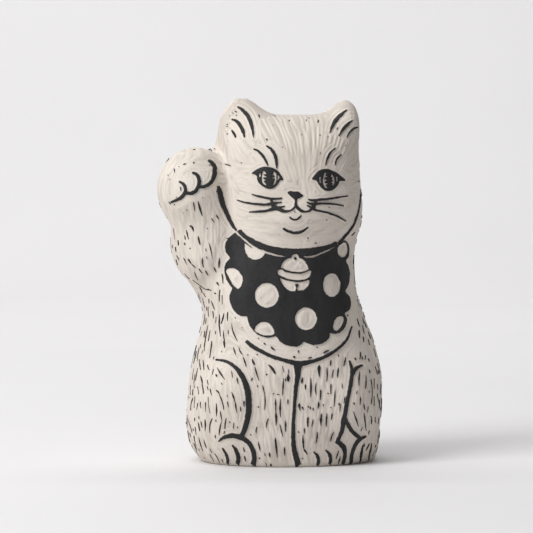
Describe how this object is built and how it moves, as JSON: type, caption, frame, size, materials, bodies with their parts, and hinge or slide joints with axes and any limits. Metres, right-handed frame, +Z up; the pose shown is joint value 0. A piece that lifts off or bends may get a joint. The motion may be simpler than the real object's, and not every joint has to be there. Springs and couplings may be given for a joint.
{
  "type": "beckoning cat figurine",
  "caption": "Seated ceramic cat figurine with one raised paw, hollow, flat underneath, carved fur and black drawn marks.",
  "frame": {"origin": "middle of the footprint box, on the surface the cat sits on", "axes": "+Z up; the cat's face looks along -Y; its raised right paw is on the -X side"},
  "size_m": [0.092, 0.069, 0.1477],
  "materials": {
    "carved_clay": "matte, bare fired clay with fine carved grooves",
    "base_clay": "matte, bare fired clay",
    "black_slip": "satin black slip"
  },
  "bodies": {
    "root": {"front_shell": "carved_clay", "rear_shell": "carved_clay", "base_slab": "base_clay", "right_ear_line_inner": "black_slip", "right_ear_line_middle": "black_slip", "right_ear_line_outer": "black_slip", "left_ear_line_inner": "black_slip", "left_ear_line_middle": "black_slip", "left_ear_line_outer": "black_slip", "right_brow_outer": "black_slip", "right_brow_inner": "black_slip", "left_brow_inner": "black_slip", "left_brow_outer": "black_slip", "right_eye": "black_slip", "left_eye": "black_slip", "muzzle_lines": "black_slip", "lip_mark": "black_slip", "chin_mark": "black_slip", "right_jaw_line": "black_slip", "left_jaw_line": "black_slip", "collar_and_bib": "black_slip", "bell_loop_dot": "black_slip", "chest_and_foreleg_line": "black_slip", "right_haunch_line": "black_slip", "right_toe_line_inner": "black_slip", "right_toe_line_outer": "black_slip", "left_foreleg_and_foot_line": "black_slip", "left_fore_toe_line_inner": "black_slip", "left_fore_toe_line_outer": "black_slip", "left_toe_line_inner": "black_slip", "left_toe_line_outer": "black_slip", "raised_paw_line": "black_slip", "rear_collar_band": "black_slip", "tail_line": "black_slip"}
  },
  "joints": []
}
